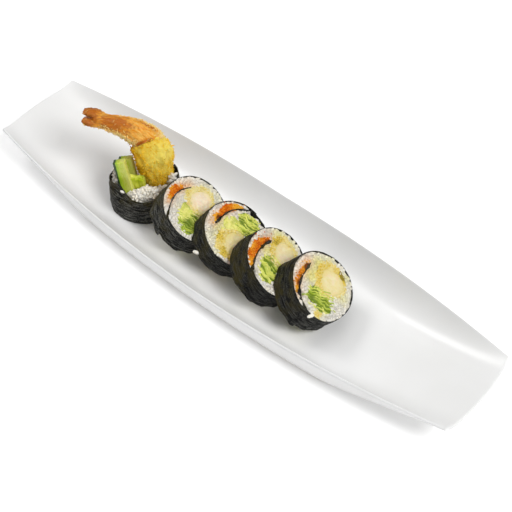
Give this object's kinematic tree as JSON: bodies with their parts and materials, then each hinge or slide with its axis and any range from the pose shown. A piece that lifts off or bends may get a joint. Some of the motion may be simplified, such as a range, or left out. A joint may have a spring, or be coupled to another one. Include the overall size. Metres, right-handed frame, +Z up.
{
  "type": "maki sushi roll on plate",
  "caption": "Cut maki roll with fried prawn, rice, laver, roe and salad leaf, laid in a leaning row with its tail end upright on a long boat-shaped porcelain plate.",
  "frame": {"origin": "on the table, under the middle of the plate's flat base", "axes": "+X along the plate, from the upright end piece to the free end; +Y to the plate's far side; +Z up"},
  "size_m": [0.3866, 0.104, 0.072],
  "materials": {
    "porcelain": "glossy white glaze",
    "nori": "dried laver sheet, nearly black with a green cast, fine wrinkles, soft sheen",
    "rice": "cooked short-grain rice, moist white grains",
    "roe": "orange fish roe, wet tiny beads",
    "leaf": "crumpled salad leaf, bright green",
    "avocado": "ripe avocado flesh, pale yellow green",
    "cucumber": "cut cucumber, pale wet flesh with a dark green skin",
    "prawn_flesh": "cooked prawn flesh, cream with a faint pink",
    "batter": "fried batter crust, golden yellow, rough",
    "tail_shell": "cooked prawn tail shell, orange with darker streaks"
  },
  "bodies": {
    "root": {"plate": "porcelain", "end_nori": "nori", "end_rice": "rice", "end_lettuce": "leaf", "end_cucumber_front": "cucumber", "end_cucumber_back": "cucumber", "end_prawn_body": "batter", "end_prawn_tail": "tail_shell", "slice_1_nori": "nori", "slice_1_rice": "rice", "slice_1_roe": "roe", "slice_1_shrimp": "prawn_flesh", "slice_1_crust": "batter", "slice_1_avocado": "avocado", "slice_1_lettuce": "leaf", "slice_2_nori": "nori", "slice_2_rice": "rice", "slice_2_roe": "roe", "slice_2_shrimp": "prawn_flesh", "slice_2_crust": "batter", "slice_2_avocado": "avocado", "slice_2_lettuce": "leaf", "slice_3_nori": "nori", "slice_3_rice": "rice", "slice_3_roe": "roe", "slice_3_shrimp": "prawn_flesh", "slice_3_crust": "batter", "slice_3_lettuce": "leaf", "slice_4_nori": "nori", "slice_4_rice": "rice", "slice_4_roe": "roe", "slice_4_shrimp": "prawn_flesh", "slice_4_crust": "batter", "slice_4_lettuce": "leaf", "slice_4_crumb": "batter"}
  },
  "joints": []
}
